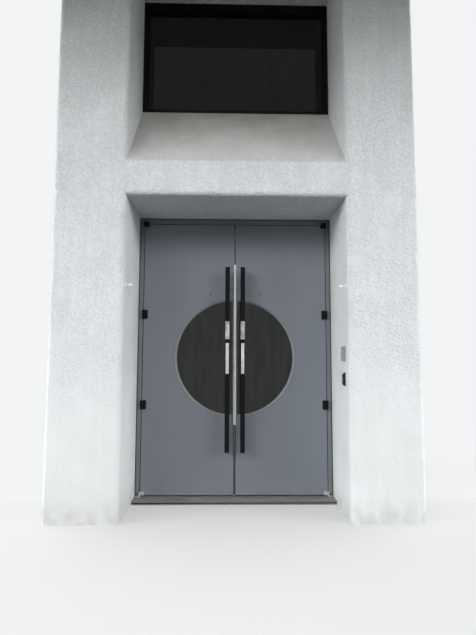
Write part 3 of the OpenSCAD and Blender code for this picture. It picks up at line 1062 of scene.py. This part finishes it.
@dataclass
class Leaf:
    """What one leaf has beside its CAD pieces: seals, gaskets, a plug, screws and the pull's plates."""

    side: Side
    brush_reach: float = 5.6 * MM
    brush_y: Span = (2 * MM, 10 * MM)
    brush_end: float = 4 * MM
    brush_tip: float = 0.6
    lip_w: float = 4 * MM
    lip_t: float = 0.8 * MM
    sweep_drop: float = 9 * MM
    sweep_y: Span = (4 * MM, 18 * MM)
    sweep_end: float = 3 * MM
    sweep_tip: float = 0.5
    sweep_round: float = 1 * MM
    plug_x: float = 0.247
    plug_z: float = 2.015
    plug_r: float = 7 * MM
    plug_h: float = 2 * MM
    plug_rim: float = 3 * MM
    plug_dome: float = 1 * MM
    plug_round: float = 0.6 * MM
    plug_sides: int = 24
    gasket_r: float = 1.5 * MM
    gasket_proud: float = 0.4
    gasket_sides: int = 8
    gasket_steps: int = 72
    ring_w: float = 24 * MM
    ring_screws: int = 9
    ring_screw_inset: float = 4.5 * MM
    ring_screw_sink: float = 0.4 * MM
    arm_x: float = 0.886
    arm_z: Span = (0.916, 1.809)
    arm_t: float = 14 * MM
    arm_screw_step: float = 28 * MM
    arm_screw_drop: float = 14 * MM
    arm_screw_r: float = 4.5 * MM
    plate_w: Span = (30 * MM, 40 * MM)
    plate_proud: float = 1 * MM
    plate_inset: float = 3 * MM
    plate_round: float = 0.5 * MM
    bar_edge: float = 3 * MM
    bar_steps: int = 3

    def build(self) -> None:
        """Builds and seats the pieces."""
        self.meeting_brush_and_shade()
        self.seal_lip_and_shade()
        self.sweep()
        self.plug()
        self.glazing_gaskets()
        self.ring_screw_set()
        self.arm_screw_set()
        self.grip()

    def own(self, word: str) -> str:
        """The name of this leaf's piece or node."""
        return f"{self.side.word}_{word}"

    def box(self, word: str) -> tuple[Vector, Vector]:
        """The box of one of this leaf's nodes."""
        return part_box(self.own(word))

    def inner_x(self, word: str) -> float:
        """The X of a node's face that is nearest the other leaf."""
        low, high = self.box(word)
        return low.x if self.side is Side.RIGHT else high.x

    def arc(self, word: str, inset: float) -> tuple[Vector, float]:
        """Finds an arc along a glazing ring.

        Args:
            word: the ring.
            inset: how far the arc lies within the ring's outer edge.

        Returns:
            The arc's centre, at the ring's inner face, and its radius.
        """
        low, high = self.box(word)
        centre = Vector((self.inner_x(word), high.y, (low.z + high.z) / 2))
        return centre, (high.z - low.z) / 2 - inset

    def seat(self, piece: Piece, finish: object, slot: str = "black_metal") -> None:
        """Seats a piece on this leaf."""
        seat(piece, self.side.body, finish)

    def meeting_brush_and_shade(self) -> None:
        """Fits the brush along the meeting edge, its tip narrower than its root. Its black also stands for
        the shade of the room that the gap looks into.
        """
        low, high = self.box("leaf")
        edge = self.inner_x("leaf")
        tip = edge - self.side.x(self.brush_reach)
        near, far = (low.y + y for y in self.brush_y)
        brush = block(
            self.own("meeting_brush_and_shade"), (tip, near, low.z + self.brush_end),
            (edge + self.side.x(LAP), far, high.z - self.brush_end))
        pick(brush, Element.FACE, lambda f: abs(face_middle(f).x - tip) < NEAR)
        bpy.ops.transform.resize(value=(1, self.brush_tip, 1))
        self.seat(brush, BRUSH)

    def seal_lip_and_shade(self) -> None:
        """Lays the flat lip of the brush's carrier on the leaf's front, from its foot up to the bar. It is
        black, and also stands for the shade in the meeting gap.
        """
        low = self.box("leaf")[0]
        edge = self.inner_x("leaf")
        lip = block(
            self.own("seal_lip_and_shade"), (edge, low.y - self.lip_t, low.z + self.brush_end),
            (edge + self.side.x(self.lip_w), low.y + LAP, self.box("meeting_bar")[0].z))
        self.seat(lip, BRUSH)

    def sweep(self) -> None:
        """Fits the sweep under the leaf: a black strip whose lower edge is narrower. Set close behind the
        leaf's face, it also stands for the shadow under the leaf.
        """
        low, high = self.box("leaf")
        near, far = (low.y + y for y in self.sweep_y)
        strip = block(
            self.own("floor_sweep_and_shadow"), (low.x + self.sweep_end, near, low.z - self.sweep_drop),
            (high.x - self.sweep_end, far, low.z + LAP))
        pick(strip, Element.FACE, lambda f: f.normal.z < -FACING)
        bpy.ops.transform.resize(value=(1, self.sweep_tip, 1))
        soften(strip, self.sweep_round)
        self.seat(strip, BRUSH)

    def plug(self) -> None:
        """Sets the small black plug in the leaf above the round window, domed at both faces."""
        places = [
            place_at((self.side.x(self.plug_x), corner.y, self.plug_z), way)
            for corner, way in zip(self.box("leaf"), (OUT, IN))]
        cap = turned("cap", (0, 0, -LAP), self.plug_r, self.plug_h, self.plug_sides)
        pick(cap, Element.FACE, on_top)
        bpy.ops.mesh.inset(thickness=self.plug_rim)
        bpy.ops.transform.translate(value=(0, 0, self.plug_dome))
        soften(cap, self.plug_round)
        self.seat(copies(cap, self.own("plug"), places), RUBBER)

    def glazing_gaskets(self) -> None:
        """Runs a round black gasket along both glazing rings, by a spin of its section."""
        centre, radius = self.arc("ring_outside", self.ring_w)
        parts = []
        for corner, way in zip(self.box("glass"), (OUT, IN)):
            centre.y = corner.y + way[1] * self.gasket_proud * self.gasket_r
            deselect_all()
            bpy.ops.mesh.primitive_circle_add(
                vertices=self.gasket_sides, radius=self.gasket_r, fill_type="NGON",
                location=centre + Vector((0, 0, radius)), rotation=(0, math.pi / 2, 0))
            part = settle_place("gasket")
            pick(part, Element.FACE, everything)
            bpy.ops.mesh.spin(
                steps=self.gasket_steps, angle=math.pi, center=centre, axis=(0, -self.side.value, 0))
            parts.append(part)
        gasket = joined(self.own("glazing_gaskets"), parts)
        tidy_mesh(gasket)
        smooth(gasket)
        self.seat(gasket, RUBBER)

    def ring_screw_set(self) -> None:
        """Sets the screws of the inner glazing ring."""
        centre, radius = self.arc("ring_inside", self.ring_screw_inset)
        places = []
        for i in range(self.ring_screws):
            angle = math.pi / self.ring_screws * (i + 0.5)
            x, z = centre.x + self.side.x(radius * math.sin(angle)), centre.z + radius * math.cos(angle)
            places.append(place_at((x, centre.y - self.ring_screw_sink, z), IN))
        screw = Screw(radius=3 * MM, head=1.2 * MM, recess=0.8 * MM, rim=1.1 * MM).model()
        self.seat(copies(screw, self.own("ring_screws"), places), SILVER, "silver_metal")

    def arm_screw_set(self) -> None:
        """Sets the screws of the pivot arms."""
        step = self.arm_screw_step
        heights = [z + dz for z in self.arm_z for dz in (-step, 0, step)]
        heights.append(self.box("leaf_pivots")[1].z - self.arm_screw_drop)
        face_y = self.box("leaf")[0].y - self.arm_t
        places = [place_at((self.side.x(self.arm_x), face_y, z), OUT) for z in heights]
        screw = Screw(radius=self.arm_screw_r).model()
        self.seat(copies(screw, self.own("pivot_screws"), places), PIVOT_BLACK)

    def grip(self) -> None:
        """Stands in for the grip: the black bar goes on at full width, with two steel plates on its front."""
        node = self.own("pull_grip")
        low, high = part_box(node)
        heights = sorted({round(v.co.z, 4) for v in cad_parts[node].data.vertices})
        middle = (low.x + high.x) / 2
        bars = []
        for word, (foot, head), width, finish in (
            ("lower", heights[:2], self.plate_w[0], GRIP_STEEL),
            ("upper", heights[-2:], self.plate_w[1], RUBBED_STEEL),
        ):
            bar = block("bar", (low.x, low.y, foot), (high.x, high.y, head))
            pick(bar, Element.EDGE, lambda e: abs(e.verts[0].co.z - e.verts[1].co.z) > NEAR)
            bpy.ops.mesh.bevel(offset=self.bar_edge, segments=self.bar_steps)
            bars.append(bar)
            plate = block(
                self.own(f"grip_plate_{word}"),
                (middle - width / 2, low.y - self.plate_proud, foot + self.plate_inset),
                (middle + width / 2, low.y + LAP, head - self.plate_inset))
            soften(plate, self.plate_round)
            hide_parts(node)
            self.seat(plate, finish, "stainless")
        bar = joined(self.own("grip_bar"), bars)
        smooth(bar)
        self.seat(bar, PULL_BLACK, "pull_black")


@dataclass
class Reveal:
    """What the two devices on the right reveal have beside their housings."""

    light_r: float = 2.5 * MM
    light_h: float = 1.5 * MM
    light_sides: int = 16
    light_drops: Span = (22 * MM, 38 * MM)
    button_r: float = 9 * MM
    button_h: float = 2.3 * MM
    button_sides: int = 32
    dish: float = 2.5 * MM
    dome: float = 0.8 * MM
    dome_steps: int = 3

    def build(self) -> None:
        """Sets two small lights near the top of the reader and the button in the buzzer's dish."""
        low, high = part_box("card_reader")
        towards = (-1, 0, 0)
        places = [
            place_at((low.x, (low.y + high.y) / 2, high.z - drop), towards) for drop in self.light_drops]
        light = turned("light", (0, 0, -LAP), self.light_r, self.light_h, self.light_sides)
        soften(light, self.dome, self.dome_steps)
        seat(copies(light, "reader_lights", places), Body.ROOT, SENSOR_WHITE)

        low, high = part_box("door_buzzer")
        foot = (low.x + self.dish, (low.y + high.y) / 2, (low.z + high.z) / 2)
        button = turned("buzzer_button", foot, self.button_r, self.button_h, self.button_sides, towards)
        soften(button, self.dome, self.dome_steps)
        seat(button, Body.ROOT, SILVER)


@dataclass
class Studio:
    """The plain pale floor, the world, the soft lamps and the photograph's viewpoint."""

    floor_half: float = 40
    floor_seen: str = "#CCCCCA"
    floor_bounce: str = "#6E6C68"
    floor_glow: float = 0.35
    floor_fade: Span = (2, 6)
    world_seen: str = "#F3F4F5"
    sky_low: float = 0.3
    sky_band: float = 6.3
    sky_zenith: float = 0.9
    sky_rise: Span = (0.12, 0.3)
    sky_fall: Span = (0.38, 0.52)
    sky_sides: Span = (0.3, 0.62)
    sky_ahead: float = 0.4
    sky_middle: float = 0.1
    flag_low: Triple = (-10, -4.2, 5.7)
    flag_high: Triple = (10, -0.5, 5.75)
    flag_tone: str = "#8A8A88"
    lamp_size: Span = (4.0, 5.0)
    lamp_place: Triple = (12.4, -4.9, 3.2)
    lamp_aim_z: float = 0.6
    lamp_spread: float = math.radians(40)
    left_watts: float = 49
    right_watts: float = 44
    eye: Triple = (-0.0731, -4.6303, 1.3265)
    pitch: float = 0.0927
    yaw: float = 0.0212
    roll: float = -0.0032
    focal_px: float = 490
    picture_px: int = 635
    sensor_mm: float = 36
    sight: float = 200

    def build(self) -> None:
        """Builds the floor, the flag, the world, the lamps and the camera."""
        self.floor()
        self.flag()
        self.world()
        for side in Side:
            self.lamp(side)
        self.camera()

    def floor(self) -> None:
        """Lays the floor: pale where it is seen, fading into the backdrop, and a mid grey for bounces."""
        deselect_all()
        bpy.ops.mesh.primitive_plane_add(size=2 * self.floor_half)
        plane = settle_place("floor")
        material = bpy.data.materials.new("studio_floor")
        material.use_nodes = True
        tree = material.node_tree
        tree.nodes.remove(tree.nodes["Principled BSDF"])
        place = add_node(tree, "ShaderNodeTexCoord").outputs["Object"]
        reach = add_node(tree, "ShaderNodeVectorMath", {0: place}, operation="LENGTH").outputs["Value"]
        seen = self.seen_ray(tree)
        tones = {0: seen, MIX_A: linear(self.floor_bounce), MIX_B: linear(self.floor_seen)}
        tone = add_node(tree, "ShaderNodeMix", tones, data_type="RGBA").outputs[MIX_RESULT]
        matte = add_node(tree, "ShaderNodeBsdfDiffuse", {"Color": tone})
        glow = add_node(tree, "ShaderNodeEmission", {"Color": linear(self.world_seen)})
        amount = within(tree, seen, reach, self.floor_fade, (self.floor_glow, 1))
        mixed = add_node(tree, "ShaderNodeMixShader", {0: amount, 1: matte.outputs[0], 2: glow.outputs[0]})
        tree.links.new(mixed.outputs[0], tree.nodes["Material Output"].inputs["Surface"])
        plane.data.materials.append(material)

    def seen_ray(self, tree: bpy.types.NodeTree) -> Socket:
        """Tells the rays that see a thing from those that light it.

        Args:
            tree: the tree that the nodes are added to.

        Returns:
            An output that is 1 for camera, glossy and transmission rays, else 0.
        """
        path = add_node(tree, "ShaderNodeLightPath").outputs
        seen = path["Is Camera Ray"]
        for ray in ("Is Glossy Ray", "Is Transmission Ray"):
            either = add_node(
                tree, "ShaderNodeMath", {0: seen, 1: path[ray]}, operation="ADD", use_clamp=True)
            seen = either.outputs[0]
        return seen

    def flag(self) -> None:
        """Hangs a dark flag overhead, unseen by the camera, that keeps the light of the zenith off."""
        flag = block("flag", self.flag_low, self.flag_high)
        cloth = Coat("flag_cloth", Base_Color=linear(self.flag_tone), Roughness=1.0)
        flag.data.materials.append(cloth.material)
        flag.visible_camera = flag.visible_glossy = flag.visible_transmission = False

    def world(self) -> None:
        """Makes the world: white where it is seen, and for light an overcast sky, dimmer near the ground."""
        world = bpy.data.worlds.new("studio_world")
        bpy.context.scene.world = world
        world.use_nodes = True
        tree = world.node_tree
        way = add_node(tree, "ShaderNodeTexCoord").outputs["Generated"]
        axes = add_node(tree, "ShaderNodeSeparateXYZ", {0: way}).outputs
        shifted = add_node(tree, "ShaderNodeMath", {0: axes["X"], 1: self.sky_middle}, operation="SUBTRACT")
        aside = add_node(tree, "ShaderNodeMath", {0: shifted.outputs[0]}, operation="ABSOLUTE").outputs[0]
        sky: object = 1.0
        for value, stretch, ends in (
            (axes["Z"], self.sky_rise, (self.sky_low, self.sky_band)),
            (axes["Z"], self.sky_fall, (1, self.sky_zenith / self.sky_band)),
            (aside, self.sky_sides, (self.sky_ahead, 2 - self.sky_ahead)),
        ):
            sky = within(tree, sky, value, stretch, ends)
        by_ray = add_node(tree, "ShaderNodeMix", {"Factor": self.seen_ray(tree), "A": sky, "B": 1.0})
        background = tree.nodes["Background"]
        background.inputs["Color"].default_value = linear(self.world_seen)
        tree.links.new(by_ray.outputs["Result"], background.inputs["Strength"])

    def lamp(self, side: Side) -> None:
        """Stands a soft lamp in front of the bay at one side, for the reveal across from it.

        Args:
            side: where the lamp stands.
        """
        name = f"{side.word}_softbox"
        data = bpy.data.lights.new(name, "AREA")
        data.shape = "RECTANGLE"
        data.size, data.size_y = self.lamp_size
        data.energy = self.left_watts if side is Side.LEFT else self.right_watts
        data.spread = self.lamp_spread
        lamp = bpy.data.objects.new(name, data)
        x, y, z = self.lamp_place
        lamp.location = (side.x(x), y, z)
        aim = Vector((-side.x(x), -y, self.lamp_aim_z - z))
        lamp.rotation_euler = aim.to_track_quat("-Z", "Y").to_euler()
        lamp.visible_glossy = lamp.visible_camera = False
        bpy.context.collection.objects.link(lamp)

    def camera(self) -> None:
        """Sets the camera where the photograph was taken from."""
        data = bpy.data.cameras.new("viewpoint")
        data.sensor_width = self.sensor_mm
        data.lens = self.focal_px * self.sensor_mm / self.picture_px
        data.clip_end = self.sight
        camera = bpy.data.objects.new("viewpoint", data)
        turn = (
            Matrix.Rotation(-self.yaw, 4, "Z") @ Matrix.Rotation(math.pi / 2 + self.pitch, 4, "X")
            @ Matrix.Rotation(-self.roll, 4, "Z"))
        camera.matrix_world = Matrix.Translation(self.eye) @ turn
        bpy.context.collection.objects.link(camera)
        bpy.context.scene.camera = camera


def dress_nodes() -> None:
    """Gives every CAD node its finish."""
    named = [(name, finish) for finish, names in NODE_FINISHES.items() for name in names]
    for side in Side:
        for finish, names in LEAF_NODE_FINISHES.items():
            named += [(f"{side.word}_{name}", finish) for name in names]
    for name, finish in named:
        dress(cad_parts[name], finish)
        LOG.info("%s: %s", name, finish.name)


def main() -> None:
    """Builds everything in order."""
    logging.basicConfig(level=logging.INFO, format="%(name)s: %(message)s")
    bpy.context.scene.view_settings.view_transform = "Standard"
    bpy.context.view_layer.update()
    Studio().build()
    dress_nodes()
    StuccoSkin().build()
    UpperWindow().build()
    Doorway().build()
    Leaf(Side.LEFT).build()
    Leaf(Side.RIGHT).build()
    Reveal().build()


if __name__ == "__main__":
    main()
